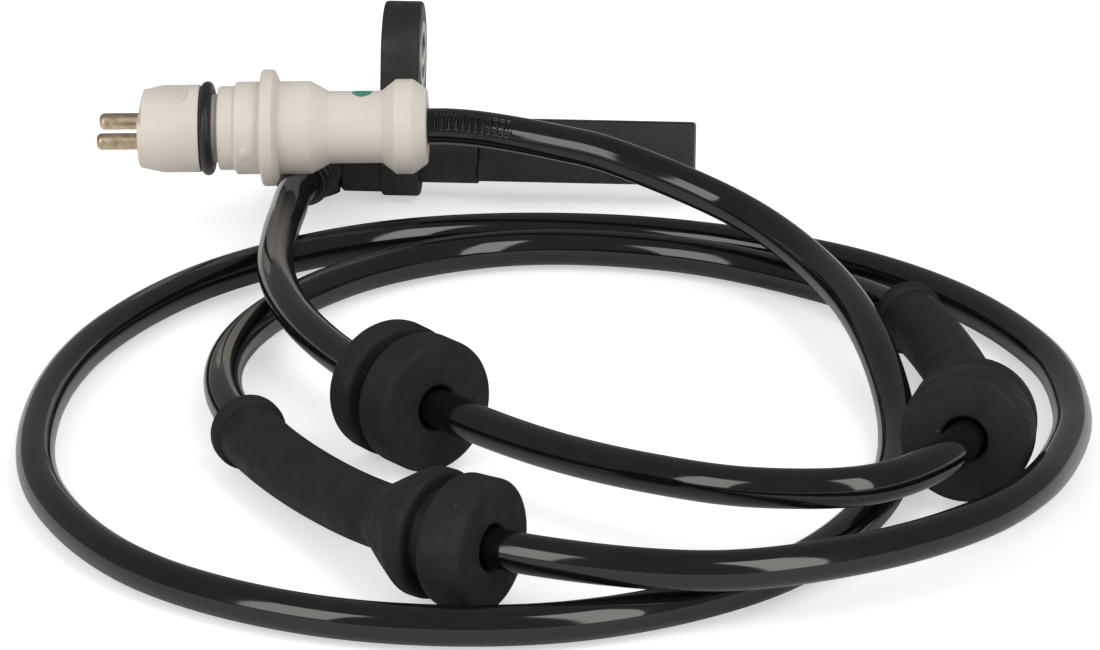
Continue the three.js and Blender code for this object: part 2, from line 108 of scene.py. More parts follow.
knots = [Vector(knot) * millimetre for knot in route_knots]
knots = [2 * knots[0] - knots[1], *knots, 2 * knots[-1] - knots[-2]]
steps_per_knot = 40
centre_line = [
    point
    for i in range(len(knots) - 3)
    for point in smooth_span(*knots[i:i + 4], steps_per_knot)
] + [knots[-2]]
marks = [0.0]
for start, end in zip(centre_line, centre_line[1:]):
    marks.append(marks[-1] + (end - start).length)
cable_length = marks[-1]
headings = [
    (ahead - behind).normalized()
    for behind, ahead in zip([centre_line[0], *centre_line], [*centre_line[1:], centre_line[-1]])
]


def on_cable(distance):
    """Point on the cable's centre line, its heading, and the ways to its side and top."""
    inside = min(max(distance, 0.0), cable_length)
    after = min(max(bisect.bisect_left(marks, inside), 1), len(marks) - 1)
    part = (inside - marks[after - 1]) / (marks[after] - marks[after - 1])
    heading = headings[after - 1].lerp(headings[after], part).normalized()
    point = centre_line[after - 1].lerp(centre_line[after], part)
    point = point + heading * (distance - inside)
    side = Vector((0, 0, 1)).cross(heading).normalized()
    return point, heading, side, heading.cross(side)


jacket_in_head = 3 * millimetre
jacket_in_connector = 3 * millimetre
relief_length = 11.8 * millimetre
connector_rear = cable_length - jacket_in_connector
jacket_end = connector_rear - relief_length

cable_line = bpy.data.curves.new("cable", "CURVE")
cable_line.dimensions = "3D"
cable_line.bevel_depth = cable_radius
cable_line.bevel_resolution = 14
cable_line.use_fill_caps = True
cable_steps = 740
strand = cable_line.splines.new("POLY")
strand.points.add(cable_steps)
for i, knot in enumerate(strand.points):
    knot.co = (*on_cable(jacket_end * i / cable_steps)[0], 1)
cable = bpy.data.objects.new("cable", cable_line)
bpy.context.collection.objects.link(cable)


def finish(name, colour, roughness, metallic=0.0):
    """A new material with the colour and sheen of the bare stuff."""
    material = bpy.data.materials.new(name)
    material.use_nodes = True
    shader = material.node_tree.nodes["Principled BSDF"]
    shader.inputs["Base Color"].default_value = (*colour, 1)
    shader.inputs["Roughness"].default_value = roughness
    shader.inputs["Metallic"].default_value = metallic
    return material


def noise(material, scale, detail=3.0, stretch=(1, 1, 1)):
    """Noise over the piece, in cycles per metre, drawn out along an axis where stretch is small."""
    nodes, links = material.node_tree.nodes, material.node_tree.links
    place = nodes.new("ShaderNodeTexCoord")
    mapping = nodes.new("ShaderNodeMapping")
    mapping.inputs["Scale"].default_value = stretch
    pattern = nodes.new("ShaderNodeTexNoise")
    pattern.inputs["Scale"].default_value = scale
    pattern.inputs["Detail"].default_value = detail
    links.new(place.outputs["Object"], mapping.inputs["Vector"])
    links.new(mapping.outputs["Vector"], pattern.inputs["Vector"])
    return pattern.outputs["Fac"]


def blended(material, factor, stops):
    """Colours along a factor from 0 to 1, each stop a (position, colour)."""
    nodes, links = material.node_tree.nodes, material.node_tree.links
    ramp = nodes.new("ShaderNodeValToRGB")
    elements = ramp.color_ramp.elements
    while len(elements) < len(stops):
        elements.new(0.5)
    for element, (position, colour) in zip(elements, stops):
        element.position = position
        element.color = (*colour, 1)
    links.new(factor, ramp.inputs["Fac"])
    return ramp.outputs["Color"]


def grey(value):
    return (value, value, value)


def colour_from(material, output):
    """Takes the base colour from a node's output."""
    shader = material.node_tree.nodes["Principled BSDF"]
    material.node_tree.links.new(output, shader.inputs["Base Color"])


def roughness_from(material, factor, low, high):
    """Lets the roughness wander between two values."""
    shader = material.node_tree.nodes["Principled BSDF"]
    ramp = blended(material, factor, [(0.3, grey(low)), (0.7, grey(high))])
    material.node_tree.links.new(ramp, shader.inputs["Roughness"])


def raised(material, height, depth, strength=1.0):
    """Adds a bump of that depth in metres to the bumps that are there already."""
    nodes, links = material.node_tree.nodes, material.node_tree.links
    shader = nodes["Principled BSDF"]
    bump = nodes.new("ShaderNodeBump")
    bump.inputs["Strength"].default_value = strength
    bump.inputs["Distance"].default_value = depth
    links.new(height, bump.inputs["Height"])
    if shader.inputs["Normal"].is_linked:
        links.new(shader.inputs["Normal"].links[0].from_socket, bump.inputs["Normal"])
    links.new(bump.outputs["Normal"], shader.inputs["Normal"])


jacket = finish("black_vinyl", (0.005, 0.005, 0.0055), 0.07)
jacket.node_tree.nodes["Principled BSDF"].inputs["Specular IOR Level"].default_value = 0.62
colour_from(jacket, blended(jacket, noise(jacket, 90), [
    (0.35, (0.0042, 0.0042, 0.0048)), (0.7, (0.0068, 0.0066, 0.0068)),
]))
roughness_from(jacket, noise(jacket, 260, detail=5), 0.05, 0.13)
raised(jacket, noise(jacket, 110, detail=1), 0.00004, 0.5)
raised(jacket, noise(jacket, 3200, detail=2), 0.0000012, 0.5)
cable_line.materials.append(jacket)
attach(cable, "root")
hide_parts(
    "cable_tail", "cable_rear", "cable_bridge", "cable_inner_loop", "cable_outer_loop",
)


# Grommets: black rubber, compression moulded in one piece each. A groove
# between two rims takes the edge of a panel hole. On two of them the rear rim
# runs through a cone into a long sleeve that ends in a rolled bead.
def rounded(profile, steps=5):
    """Profile of (station, radius) or (station, radius, rounding) corners in millimetres."""
    line = []
    for i, corner in enumerate(profile):
        here = Vector(corner[:2])
        if len(corner) < 3:
            line.append(here)
            continue
        before = (Vector(profile[i - 1][:2]) - here).normalized()
        after = (Vector(profile[i + 1][:2]) - here).normalized()
        half = before.angle(after) / 2
        centre = here + (before + after).normalized() * corner[2] / math.sin(half)
        from_centre = here + before * corner[2] / math.tan(half) - centre
        to_centre = here + after * corner[2] / math.tan(half) - centre
        sweep = from_centre.angle(to_centre)
        for step in range(steps + 1):
            share = step / steps
            line.append(centre + (
                from_centre * math.sin((1 - share) * sweep) + to_centre * math.sin(share * sweep)
            ) / math.sin(sweep))
    return line


def divided(line, longest):
    """Long runs of a profile divided, so that the piece can bend along the cable."""
    result = [line[0]]
    for start, end in zip(line, line[1:]):
        parts = max(1, math.ceil(abs(end[0] - start[0]) / longest))
        result += [start.lerp(end, (k + 1) / parts) for k in range(parts)]
    return result


def spun(name, line, steps=96):
    """A piece made as a point extruded along a profile in millimetres, spun about the X axis."""
    bpy.ops.object.select_all(action="DESELECT")
    bpy.ops.mesh.primitive_plane_add(size=0.001)
    piece = bpy.context.object
    piece.name = piece.data.name = name
    bpy.ops.object.mode_set(mode="EDIT")
    bpy.ops.mesh.merge(type="CENTER")
    first = line[0]
    bpy.ops.transform.translate(value=(first[0] * millimetre, 0, first[1] * millimetre))
    for start, end in zip(line, line[1:]):
        move = ((end[0] - start[0]) * millimetre, 0, (end[1] - start[1]) * millimetre)
        bpy.ops.mesh.extrude_region_move(TRANSFORM_OT_translate={"value": move})
    bpy.ops.mesh.select_all(action="SELECT")
    bpy.ops.mesh.spin(steps=steps, angle=math.tau, center=(0, 0, 0), axis=(1, 0, 0))
    bpy.ops.mesh.select_all(action="SELECT")
    bpy.ops.mesh.remove_doubles(threshold=2e-6)
    bpy.ops.mesh.normals_make_consistent(inside=False)
    bpy.ops.object.mode_set(mode="OBJECT")
    return piece


def bent(piece, distance, heading):
    """Lays a piece modelled along X on the cable, its X = 0 at that distance, +X along heading."""
    for vertex in piece.data.vertices:
        along, across, above = vertex.co
        point, _, side, top = on_cable(distance + heading * along)
        vertex.co = point + side * heading * across + top * above


def smooth(piece, sharpest=40):
    """Shades a piece smooth, apart from edges sharper than that angle in degrees."""
    bpy.ops.object.select_all(action="DESELECT")
    piece.select_set(True)
    bpy.context.view_layer.objects.active = piece
    bpy.ops.object.shade_smooth_by_angle(angle=math.radians(sharpest))


def dressed(piece, material, slot, *nodes):
    """Gives a finished piece its material and its place in the frame."""
    piece.data.materials.clear()
    piece.data.materials.append(material)
    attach(piece, "root")
    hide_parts(*nodes)


def laid_over(material, under, colour, cover):
    """A colour over what is under it, as far as cover says, from 0 to 1."""
    links = material.node_tree.links
    mix = material.node_tree.nodes.new("ShaderNodeMix")
    mix.data_type = "RGBA"
    mix.inputs["B"].default_value = (*colour, 1)
    links.new(cover, mix.inputs["Factor"])
    links.new(under, mix.inputs["A"])
    return mix.outputs["Result"]


rubber = finish("moulded_rubber", (0.014, 0.0135, 0.012), 0.74)
rubber.node_tree.nodes["Principled BSDF"].inputs["Specular IOR Level"].default_value = 0.34
bloom = blended(rubber, noise(rubber, 240, detail=6), [
    (0.3, (0.0108, 0.0105, 0.009)), (0.72, (0.0165, 0.016, 0.0138)),
])
dust = blended(rubber, noise(rubber, 2300, detail=1), [(0.79, grey(0)), (0.83, grey(1))])
colour_from(rubber, laid_over(rubber, bloom, (0.2, 0.19, 0.17), dust))
roughness_from(rubber, noise(rubber, 420, detail=4), 0.62, 0.84)
raised(rubber, noise(rubber, 5200, detail=2), 0.000012, 0.6)
raised(rubber, noise(rubber, 700, detail=2), 0.00001, 0.25)

front_rim = 5.4
groove_width = 2.3
back_rim = 4.2
plain_rim_radius = 8.7
rim_radius = 8.35
groove_radius = 5.9
bore_radius = 2.85
bore_middle = 4.2
longest_run = 0.7
plain_grommet_at = 117.88 * millimetre
right_grommet_at = 205.44 * millimetre
front_grommet_at = 478.21 * millimetre


def rim_and_groove(rim_radius):
    """Profile from the bore over the front face and its rim to the floor of the groove."""
    return [
        (bore_middle, bore_radius), (0, bore_radius, 0.5), (0, rim_radius, 1.0),
        (front_rim, rim_radius, 0.8), (front_rim, groove_radius, 0.4),
        (front_rim + groove_width, groove_radius, 0.4),
    ]


back = front_rim + groove_width + back_rim
plain_grommet = spun("rubber_grommet_plain", divided(rounded([
    *rim_and_groove(plain_rim_radius),
    (front_rim + groove_width, plain_rim_radius, 0.8), (back, plain_rim_radius, 1.0),
    (back, bore_radius, 0.5), (bore_middle, bore_radius),
]), longest_run))
bent(plain_grommet, plain_grommet_at, -1)

cone_front = front_rim + groove_width
cone_radius = 8.1
sleeve_radius = 4.15
sleeve_end = 58.5
bead_radius = 4.85
sleeved_profile = divided(rounded([
    *rim_and_groove(rim_radius),
    (cone_front, cone_radius, 0.8), (cone_front + 2.2, cone_radius, 0.9),
    (cone_front + 9.2, sleeve_radius, 5), (sleeve_end - 2.2, sleeve_radius, 0.3),
    (sleeve_end - 1.9, bead_radius, 0.45), (sleeve_end, bead_radius, 0.6),
    (sleeve_end, bore_radius + 0.2, 0.4), (sleeve_end - 2, bore_radius),
    (bore_middle, bore_radius),
]), longest_run)
right_grommet = spun("rubber_grommet_right", sleeved_profile)
bent(right_grommet, right_grommet_at, 1)
front_grommet = spun("rubber_grommet_front", sleeved_profile)
bent(front_grommet, front_grommet_at, -1)
for piece, node in (
    (plain_grommet, "grommet_plain"),
    (right_grommet, "grommet_right"),
    (front_grommet, "grommet_front"),
):
    smooth(piece)
    dressed(piece, rubber, "grommet_rubber", node)


# Boot behind the head: soft black rubber, a tube with thin discs, so that it
# bends with the cable. The discs grow towards the head, where they crowd in the
# bend and are pressed flat on its back face.
def joined(piece, other, operation="UNION"):
    """Joins another solid to a piece, or cuts it out."""
    modifier = piece.modifiers.new(operation, "BOOLEAN")
    modifier.operation = operation
    modifier.solver = "EXACT"
    modifier.object = other
    bpy.context.view_layer.objects.active = piece
    bpy.ops.object.modifier_apply(modifier=modifier.name)
    bpy.data.objects.remove(other)


head_face = -25.0
boot_length = 18
boot_gap = 0.3
boot_wall = 2.9
disc_foot = 3.3
first_disc, disc_pitch = 0.5, 1.62
boot_end = jacket_in_head + (boot_length + boot_gap) * millimetre
head_boot = spun("cable_boot", divided(rounded([
    (1.5, boot_wall), (0.3, 2.4), (0, 2.4), (0, 3.2, 0.3), (boot_length, 3.6),
    (boot_length, 3.05), (1.5, boot_wall),
]), 0.8), 64)
bent(head_boot, boot_end, -1)
for i, (crest, inward) in enumerate((
    (6.1, 0), (6.2, 0.4), (6.3, 0.9), (6.3, 1.1), (6.2, 1.1), (5.9, 0.8), (5.4, 0.5), (4.9, 0.2),
    (4.4, 0), (4.1, 0), (3.8, 0),
)):
    disc = spun("boot_disc", rounded([
        (-0.45, 2.8), (-0.6, disc_foot), (-0.3, crest, 0.22), (0.3, crest, 0.22),
        (0.6, disc_foot), (0.45, 2.8), (-0.45, 2.8),
    ], 3), 64)
    behind_head = (first_disc + disc_pitch * i) * millimetre
    point, heading, side, top = on_cable(jacket_in_head + behind_head)
    if i == 0:
        # The first one lies straight against the head
        _, heading, side, top = on_cable(jacket_in_head - 1 * millimetre)
    turn = Matrix((-heading, -side, top)).transposed().to_4x4()
    disc.data.transform(Matrix.Translation(point + side * inward * millimetre) @ turn)
    joined(head_boot, disc)

# What would lie inside the head is cut off along the plane of its back face
bpy.ops.object.select_all(action="DESELECT")
bpy.ops.mesh.primitive_cube_add(size=1)
past_face = bpy.context.object
past_face_size = 20
past_face_middle = (head_face + past_face_size / 2) * millimetre
past_face.data.transform(
    Matrix.Translation((past_face_middle, 0, 10 * millimetre))
    @ Matrix.Scale(past_face_size * millimetre, 4)
)
joined(head_boot, past_face, "DIFFERENCE")
smooth(head_boot)

boot_rubber = finish("boot_rubber", (0.012, 0.012, 0.012), 0.34)
roughness_from(boot_rubber, noise(boot_rubber, 500, detail=4), 0.28, 0.45)
colour_from(boot_rubber, blended(boot_rubber, noise(boot_rubber, 300), [
    (0.3, (0.009, 0.009, 0.009)), (0.7, (0.015, 0.0148, 0.0145)),
]))
raised(boot_rubber, noise(boot_rubber, 2500), 0.00001, 0.5)
dressed(head_boot, boot_rubber, "boot_rubber", "head_boot")


# Sensor head: glass-filled black nylon, moulded round the coil in one piece.
# A round back end carries the leaning bolt ear, and a collar leads to the
# square tip that points at the wheel's ring.
head_rear = (head_face, -2.57, axis_height)
roll_back = math.radians(18.5)
bolt_offset = 13.2
ear_start, ear_end = 5.75, 11.15
collar_end, head_end = 19.5, 50.0
back_radius, collar_radius, core_radius = 6.3, 4.85, 3.9
tip_depth, tip_height = 8.2, 8.9
coil_bore_radius, coil_bore_end = 3.1, 48.7
bush_radius, bolt_hole_radius = 4.9, 3.3
bush_seat_radius = bush_radius + 0.12


def placed_on_head(piece):
    """Moves a piece from the head's own axes, X from its rear face, to its place."""
    place = Matrix.Translation(Vector(head_rear) * millimetre)
    piece.data.transform(place @ Matrix.Rotation(-roll_back, 4, "X"))


def bevelled(piece, width, segments=3, sharpest=40):
    """Rounds the edges of a piece by a width in millimetres."""
    modifier = piece.modifiers.new("edges", "BEVEL")
    modifier.width = width * millimetre
    modifier.segments = segments
    modifier.angle_limit = math.radians(sharpest)
    bpy.context.view_layer.objects.active = piece
    bpy.ops.object.modifier_apply(modifier=modifier.name)


def ear_plate():
    """The ear: two round ends and their tangents, from a polygon that is extruded and bevelled."""
    top_radius, foot_radius = 7.6, 6.8
    arc_steps = 40
    lean = math.asin((top_radius - foot_radius) / bolt_offset)
    outline = []
    for centre, radius, start, end in (
        (bolt_offset, top_radius, -lean, math.pi + lean),
        (0, foot_radius, math.pi + lean, math.tau - lean),
    ):
        for step in range(arc_steps + 1):
            angle = start + (end - start) * step / arc_steps
            outline.append((radius * math.cos(angle), centre + radius * math.sin(angle)))
    bpy.ops.object.select_all(action="DESELECT")
    bpy.ops.mesh.primitive_circle_add(vertices=len(outline), radius=0.01, fill_type="NGON")
    piece = bpy.context.object
    for vertex, (across, above) in zip(piece.data.vertices, outline):
        vertex.co = (ear_start * millimetre, across * millimetre, above * millimetre)
    bpy.ops.object.mode_set(mode="EDIT")
    bpy.ops.mesh.select_all(action="SELECT")
    bpy.ops.mesh.extrude_region_move(
        TRANSFORM_OT_translate={"value": ((ear_end - ear_start) * millimetre, 0, 0)},
    )
    bpy.ops.mesh.select_all(action="SELECT")
    bpy.ops.mesh.normals_make_consistent(inside=False)
    bpy.ops.object.mode_set(mode="OBJECT")
    bevelled(piece, 0.45, 3, 60)
    return piece


def box_between(start, end, depth, height, edge):
    """A block along X with rounded edges."""
    bpy.ops.object.select_all(action="DESELECT")
    bpy.ops.mesh.primitive_cube_add(size=1)
    piece = bpy.context.object
    for vertex in piece.data.vertices:
        vertex.co = (
            (start + (vertex.co.x + 0.5) * (end - start)) * millimetre,
            vertex.co.y * depth * millimetre,
            vertex.co.z * height * millimetre,
        )
    bevelled(piece, edge, 4)
    return piece


housing = spun("head_housing", rounded([
    (0, 0), (0, back_radius, 0.6), (ear_start + 2, back_radius), (ear_start + 2, 0),
]), 96)
joined(housing, ear_plate())
joined(housing, spun("collar", rounded([
    (ear_start + 1, 0), (ear_start + 1, collar_radius), (collar_end, collar_radius, 0.35),
    (collar_end, 0),
]), 96))
joined(housing, spun("core", [
    Vector((collar_end - 1, 0)), Vector((collar_end - 1, core_radius)),
    Vector((collar_end + 1, core_radius)), Vector((collar_end + 1, 0)),
], 96))
joined(housing, box_between(collar_end - 0.1, head_end, tip_depth, tip_height, 0.5))
joined(housing, spun("bore", [
    Vector((-1, 0)), Vector((-1, coil_bore_radius)),
    Vector((coil_bore_end, coil_bore_radius)), Vector((coil_bore_end, 0)),
], 64), "DIFFERENCE")
seat = spun("seat", [
    Vector((ear_start - 1, 0)), Vector((ear_start - 1, bush_seat_radius)),
    Vector((ear_end + 1, bush_seat_radius)), Vector((ear_end + 1, 0)),
], 96)
seat.data.transform(Matrix.Translation((0, 0, bolt_offset * millimetre)))
joined(housing, seat, "DIFFERENCE")
placed_on_head(housing)
smooth(housing, 32)

nylon = finish("black_nylon", (0.019, 0.019, 0.0185), 0.5)
colour_from(nylon, blended(nylon, noise(nylon, 160, detail=4), [
    (0.3, (0.0145, 0.0131, 0.0117)), (0.7, (0.02, 0.0181, 0.0163)),
]))
roughness_from(nylon, noise(nylon, 600, detail=5), 0.42, 0.6)
raised(nylon, noise(nylon, 7000, detail=3), 0.000008, 0.6)
raised(nylon, noise(nylon, 500, detail=2), 0.00002, 0.3)
dressed(housing, nylon, "housing_plastic", "sensor_housing")


# Bush: a steel tube, cut off, faced and zinc plated, moulded into the ear and
# standing just proud of it, so that the bolt clamps steel and not plastic.
bush_start, bush_middle, bush_end = ear_start - 0.1, 8.45, ear_end + 0.1
bush = spun("bolt_bush", rounded([
    (bush_middle, bolt_hole_radius), (bush_start, bolt_hole_radius, 0.25),
    (bush_start, bush_radius, 0.15), (bush_end, bush_radius, 0.15),
    (bush_end, bolt_hole_radius, 0.25), (bush_middle, bolt_hole_radius),
], 3), 96)
bush.data.transform(Matrix.Translation((0, 0, bolt_offset * millimetre)))
placed_on_head(bush)
smooth(bush, 30)
zinc = finish("zinc_plate", (0.5, 0.52, 0.49), 0.36, 1.0)
colour_from(zinc, blended(zinc, noise(zinc, 500, detail=5), [
    (0.3, (0.42, 0.44, 0.41)), (0.7, (0.58, 0.6, 0.55)),
]))
roughness_from(zinc, noise(zinc, 1500, detail=4), 0.28, 0.46)
raised(zinc, noise(zinc, 6000, detail=2, stretch=(0.1, 1, 1)), 0.000006, 0.5)
dressed(bush, zinc, "bush_zinc", "ear_bush")


# Connector: ivory glass-filled plastic, moulded in one piece round the cores,
# with a key flat on its nose, a groove for the seal, a flange that the socket's
# clip holds, and a waisted grip with a dab of green paint.
nose_length = 9.1
connector_length = 41.0
connector_roll = math.radians(16)
nose_turn = math.radians(1.4)
end_point, end_heading, end_side, end_top = on_cable(connector_rear)
connector_basis = Matrix((-end_heading, -end_side, end_top)).transposed().to_4x4()
connector_place = (
    Matrix.Translation(end_point)
    @ Matrix.Rotation(nose_turn, 4, "Z")
    @ Matrix.Translation(end_heading * connector_length * millimetre)
    @ connector_basis
    @ Matrix.Rotation(connector_roll, 4, "X")
)

nose_front, rear_face = 0.6, 40.38
nose_radius, groove_floor, land_radius = 6.05, 4.75, 5.8
barrel_radius, flange_radius, waist_radius, grip_radius = 6.4, 8.05, 5.0, 6.55
flange_start, flange_end = 17.55, 19.88
cavity_start, cavity_end, cavity_back = 16.5, 36.5, 39.2
cavity_radius, core_way_radius, relief_hole_radius = 3.6, 3.2, 2.62
pin_spacing, pin_hole_radius = 4.8, 1.45


def pin_axis(side):
    """Middle of a pin on the nose, a little below the barrel's own axis."""
    return Vector((0, side * pin_spacing / 2 - 0.09, -0.32)) * millimetre


connector = spun("connector_body", rounded([
    (nose_front, 0), (nose_front, 5.3, 0.3), (3.85, nose_radius, 3),
    (nose_length, nose_radius, 0.2), (nose_length, groove_floor), (11.6, groove_floor),
    (11.6, land_radius, 0.3), (13.7, land_radius, 0.15), (14.1, barrel_radius, 0.3),
    (flange_start, barrel_radius, 0.3), (flange_start, flange_radius, 0.45),
    (19.3, flange_radius, 0.3), (19.8, 7.1, 0.3), (flange_end, barrel_radius, 0.3),
    (24.35, barrel_radius, 0.5), (26.85, waist_radius, 0.5), (34.15, waist_radius, 1.0),
    (36.1, grip_radius, 0.4), (38.4, grip_radius, 0.7), (rear_face, 5.15, 0.4), (rear_face, 0),
], 4), 128)

# The key flat, cut along the top of the nose with a round run-out
bpy.ops.object.select_all(action="DESELECT")
key_turn = Matrix.Rotation(math.radians(-7), 4, "X")
run_out_radius, run_out_station = 1.6, 6.4
run_out_height = 6.15 - 0.8 + run_out_radius
cutter_low, cutter_middle, cutter_high = 5.35 * millimetre, 6.95 * millimetre, 8.55 * millimetre
bpy.ops.mesh.primitive_cylinder_add(
    vertices=96, radius=run_out_radius * millimetre, depth=14 * millimetre,
    location=(run_out_station * millimetre, 0, run_out_height * millimetre),
    rotation=(math.pi / 2, 0, 0),
)
key_flat = bpy.context.object
bpy.ops.object.transform_apply(location=True, rotation=True, scale=True)
for vertex in key_flat.data.vertices:
    if vertex.co.x < run_out_station * millimetre - 1e-6:
        vertex.co.x = -2 * millimetre
        if abs(vertex.co.z - cutter_middle) < run_out_radius * millimetre:
            vertex.co.z = cutter_low if vertex.co.z < cutter_middle else cutter_high
bpy.ops.object.mode_set(mode="EDIT")
bpy.ops.mesh.select_all(action="SELECT")
bpy.ops.mesh.remove_doubles(threshold=1e-6)
bpy.ops.mesh.convex_hull()
bpy.ops.mesh.normals_make_consistent(inside=False)
bpy.ops.object.mode_set(mode="OBJECT")
key_flat.data.transform(key_turn)
joined(connector, key_flat, "DIFFERENCE")

# The front face is stepped back a little below the key flat
step_back = box_between(-1, 1.2, 16, 6, 0.1)
step_back.data.transform(key_turn @ Matrix.Translation((0, 0, 5.96 * millimetre)))
joined(connector, step_back, "DIFFERENCE")

# The hollow for the cores and the backs of the pins, and the holes that the pins fill
joined(connector, spun("cavity", [
    Vector((cavity_start, 0)), Vector((cavity_start, cavity_radius)),
    Vector((cavity_end, cavity_radius)), Vector((cavity_end, core_way_radius)),
    Vector((cavity_back, core_way_radius)), Vector((cavity_back, relief_hole_radius)),
    Vector((connector_length + 1, relief_hole_radius)), Vector((connector_length + 1, 0)),
], 64), "DIFFERENCE")
for side in (-1, 1):
    pin_hole = spun("pin_hole", [
        Vector((-1, 0)), Vector((-1, pin_hole_radius)),
        Vector((cavity_start + 1, pin_hole_radius)), Vector((cavity_start + 1, 0)),
    ], 48)
    pin_hole.data.transform(Matrix.Translation(pin_axis(side)))
    joined(connector, pin_hole, "DIFFERENCE")

# Low oval bosses on both sides of the barrel
boss_station, boss_half_length, boss_half_width, boss_height = 15.4, 0.85, 1.15, 0.36
for side in (-1, 1):
    bpy.ops.object.select_all(action="DESELECT")
    bpy.ops.mesh.primitive_uv_sphere_add(segments=32, ring_count=16, radius=1)
    boss = bpy.context.object
    for vertex in boss.data.vertices:
        vertex.co = (
            (boss_station + boss_half_length * vertex.co.x) * millimetre,
            (side * (barrel_radius - 0.18) + boss_height * vertex.co.y) * millimetre,
            boss_half_width * vertex.co.z * millimetre,
        )
    joined(connector, boss)
connector.data.transform(connector_place)
smooth(connector, 32)

ivory = finish("ivory_plastic", (0.675, 0.626, 0.564), 0.5)
ivory_shader = ivory.node_tree.nodes["Principled BSDF"]
ivory_shader.inputs["Subsurface Weight"].default_value = 0.12
ivory_shader.inputs["Subsurface Radius"].default_value = (0.0012, 0.0010, 0.0008)
ivory_shader.inputs["Subsurface Scale"].default_value = 1.0
clouded = blended(ivory, noise(ivory, 170, detail=5), [
    (0.3, (0.655, 0.607, 0.545)), (0.7, (0.695, 0.647, 0.585)),
])
soiled = blended(ivory, noise(ivory, 1300, detail=2), [(0.74, grey(0)), (0.82, grey(0.5))])
smudged = laid_over(ivory, clouded, (0.5, 0.44, 0.36), soiled)

# The dab of paint: a round patch about a point on top of the waist
dab_centre = connector_place @ (Vector((31.5, 1.37, 4.81)) * millimetre)
dab_radius = 1.4 * millimetre
dab_ragged = 0.0009
dab_fades_from, dab_fades_to = dab_radius + 0.00033, dab_radius + 0.00045
ivory_nodes, ivory_links = ivory.node_tree.nodes, ivory.node_tree.links
dab_place = ivory_nodes.new("ShaderNodeTexCoord")
dab_distance = ivory_nodes.new("ShaderNodeVectorMath")
dab_distance.operation = "DISTANCE"
dab_distance.inputs[1].default_value = dab_centre
ivory_links.new(dab_place.outputs["Object"], dab_distance.inputs[0])
dab_edge = ivory_nodes.new("ShaderNodeMath")
dab_edge.operation = "MULTIPLY_ADD"
dab_edge.inputs[1].default_value = dab_ragged
ivory_links.new(noise(ivory, 900, detail=2), dab_edge.inputs[0])
ivory_links.new(dab_distance.outputs["Value"], dab_edge.inputs[2])
dab_mask = ivory_nodes.new("ShaderNodeMapRange")
dab_mask.inputs["From Min"].default_value = dab_fades_to
dab_mask.inputs["From Max"].default_value = dab_fades_from
ivory_links.new(dab_edge.outputs["Value"], dab_mask.inputs["Value"])
painted = laid_over(ivory, smudged, (0.045, 0.27, 0.21), dab_mask.outputs["Result"])
colour_from(ivory, painted)
roughness_from(ivory, noise(ivory, 400, detail=4), 0.4, 0.55)
raised(ivory, noise(ivory, 4200, detail=3), 0.000008, 0.5)
raised(ivory, noise(ivory, 420, detail=2), 0.00003, 0.25)
dressed(connector, ivory, "connector_ivory", "connector_body")


# Seal: a black rubber ring stretched into the connector's groove,
# drawn with a plain round section.
seal_section, seal_station, seal_radius = 0.86, 10.05, 5.64
seal_steps = 32
seal_profile = []
for step in range(seal_steps + 1):
    angle = math.tau * step / seal_steps
    station = seal_station + seal_section * math.cos(angle)
    seal_profile.append(Vector((station, seal_radius + seal_section * math.sin(angle))))
seal = spun("seal_ring", seal_profile, 128)
seal.data.transform(connector_place)
smooth(seal)
dressed(seal, boot_rubber, "seal_rubber", "connector_seal")


# Contact pins: turned brass, tinned and a little tarnished, with domed tips.
# They are pushed through the nose until their backs stand in the hollow.
pin_tip, pin_back, pin_radius = -5.2, 19, 1.15
pins = []
for letter, side in (("a", -1), ("b", 1)):
    pin = spun(f"pin_{letter}", rounded([
        (pin_tip, 0), (pin_tip, pin_radius, 0.75), (-4.0, pin_radius), (pin_back, pin_radius),
        (pin_back, 0),
    ], 8), 64)
    pin.data.transform(Matrix.Translation(pin_axis(side)))
    pin.data.transform(connector_place)
    smooth(pin)
    pins.append(pin)
tinned = finish("tarnished_pin", (0.5, 0.42, 0.31), 0.4, 1.0)
colour_from(tinned, blended(tinned, noise(tinned, 900, detail=6), [
    (0.3, (0.5, 0.38, 0.25)), (0.55, (0.68, 0.56, 0.41)), (0.75, (0.8, 0.7, 0.55)),
]))
roughness_from(tinned, noise(tinned, 1600, detail=4), 0.3, 0.52)
raised(tinned, noise(tinned, 3000, detail=4), 0.00001, 0.5)
for pin, node in zip(pins, ("contact_pin_a", "contact_pin_b")):
    dressed(pin, tinned, "pin_brass", node)


# Relief: black vinyl moulded round the cores between the jacket's end and the
# connector, as thick as the jacket, with a row of thin ribs in a shallow window
# on both of its sides, so that it bends gradually.
relief_radius, relief_bore = 2.5, 1.75
relief_foot, relief_foot_radius = -3, 2.9
relief_end, relief_close = 11.7, 11.84
rib_pitch, rib_half, window_depth = 1.0, 0.17, 0.34
window_start, window_end, window_ramp = -0.3, 11.3, 0.2
window_centre = math.radians(180 - 38)
window_reach = math.radians(31)
window_edge = math.radians(9)
relief_profile = [
    Vector((relief_foot, relief_bore)), Vector((relief_foot, relief_foot_radius)),
    Vector((-2, relief_foot_radius)), Vector((-1.9, relief_radius)), Vector((0, relief_radius)),
]
relief_steps = 195
for step in range(1, relief_steps + 1):
    relief_profile.append(Vector((relief_end * step / relief_steps, relief_radius)))
relief_profile += [
    Vector((relief_close, relief_radius - 0.01)), Vector((relief_close, relief_bore)),
    Vector((relief_foot, relief_bore)),
]
relief = spun("ribbed_relief", relief_profile, 128)
